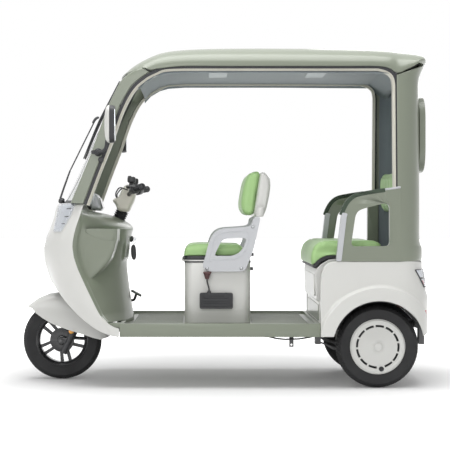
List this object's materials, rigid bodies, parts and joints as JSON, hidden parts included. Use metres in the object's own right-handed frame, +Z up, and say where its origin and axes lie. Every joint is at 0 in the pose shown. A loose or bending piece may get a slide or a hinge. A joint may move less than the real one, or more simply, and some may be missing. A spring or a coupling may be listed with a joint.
{
  "type": "electric tricycle",
  "caption": "Three-wheeled electric passenger tricycle with a roofed cab open at both sides, a curved windscreen, a driver's seat on a box and a rear bench.",
  "frame": {"origin": "on the ground under the middle of the vehicle", "axes": "+X forward along the vehicle, +Y to its left, +Z up"},
  "size_m": [2.086, 1.152, 1.716],
  "materials": {
    "sage": "satin paint",
    "white": "gloss moulded shell",
    "cream": "satin moulded trim",
    "seat_green": "grained vinyl",
    "silver": "silver paint on plastic",
    "liner": "short knit headlining",
    "black_plastic": "moulded black",
    "black_metal": "black powder coat",
    "alloy_black": "satin black alloy",
    "grey_metal": "grey paint",
    "tyre": "rubber",
    "rubber": "dark green rubber",
    "cable": "black jacket",
    "glass": "clear glass",
    "lamp": "clear lens over silver"
  },
  "bodies": {
    "chassis": {"chassis_frame": "black_metal", "floor_tray": "sage", "nose_shell": "white", "leg_shield": "sage", "wheel_well": "black_plastic", "headlamps": "lamp", "windscreen": "glass", "pillars": "sage", "roof_panel": "sage", "roof_liner": "liner", "rear_wall": "sage", "rear_window": "glass", "opening_trims": "cream", "rear_sides": "white", "tail_panel": "white", "arch_liners": "black_plastic", "tail_lamps": "lamp", "bench_base": "white", "bench_backrest": "seat_green", "armrests": "sage", "armrest_pads": "rubber", "seat_box": "white", "battery": "grey_metal", "seat_frames": "silver", "backrest_pad": "seat_green", "backrest_shell": "white", "side_case": "black_plastic", "case_lead": "cable", "dash_pod": "silver", "ignition": "black_plastic", "brake_pedal": "black_metal", "mirrors": "white", "wiper": "black_plastic", "rear_axle": "black_metal", "rear_springs": "black_metal", "brake_cable": "cable"},
    "driver_seat_lid": {"driver_cushion": "seat_green", "cushion_base": "black_plastic"},
    "bench_lid": {"bench_cushion": "seat_green", "bench_cushion_base": "black_plastic"},
    "steering": {"fork": "grey_metal", "column_cover": "cream", "handlebar": "black_plastic", "front_guard": "white"},
    "front_wheel": {"front_tyre": "tyre", "front_rim": "alloy_black"},
    "rear_wheel_left": {"rear_tyre_left": "tyre", "rear_rim_left": "white"},
    "rear_wheel_right": {"rear_tyre_right": "tyre", "rear_rim_right": "white"}
  },
  "joints": [
    {"name": "steer", "type": "hinge", "parent": "chassis", "child": "steering", "pos_m": [0.526, 0, 0.875], "axis": [-0.4067, 0, 0.9135], "range_deg": [-35, 35]},
    {"name": "front_wheel_spin", "type": "hinge", "parent": "steering", "child": "front_wheel", "pos_m": [0.838, 0, 0.205], "axis": [0, 1, 0], "continuous": true},
    {"name": "rear_left_spin", "type": "hinge", "parent": "chassis", "child": "rear_wheel_left", "pos_m": [-0.766, 0.36, 0.205], "axis": [0, 1, 0], "continuous": true},
    {"name": "rear_right_spin", "type": "hinge", "parent": "chassis", "child": "rear_wheel_right", "pos_m": [-0.766, -0.36, 0.205], "axis": [0, 1, 0], "continuous": true},
    {"name": "driver_seat_tip", "type": "hinge", "parent": "chassis", "child": "driver_seat_lid", "pos_m": [0.206, 0, 0.631], "axis": [0, 1, 0], "range_deg": [0, 72]},
    {"name": "bench_tip", "type": "hinge", "parent": "chassis", "child": "bench_lid", "pos_m": [-0.817, 0, 0.646], "axis": [0, -1, 0], "range_deg": [0, 45]}
  ]
}
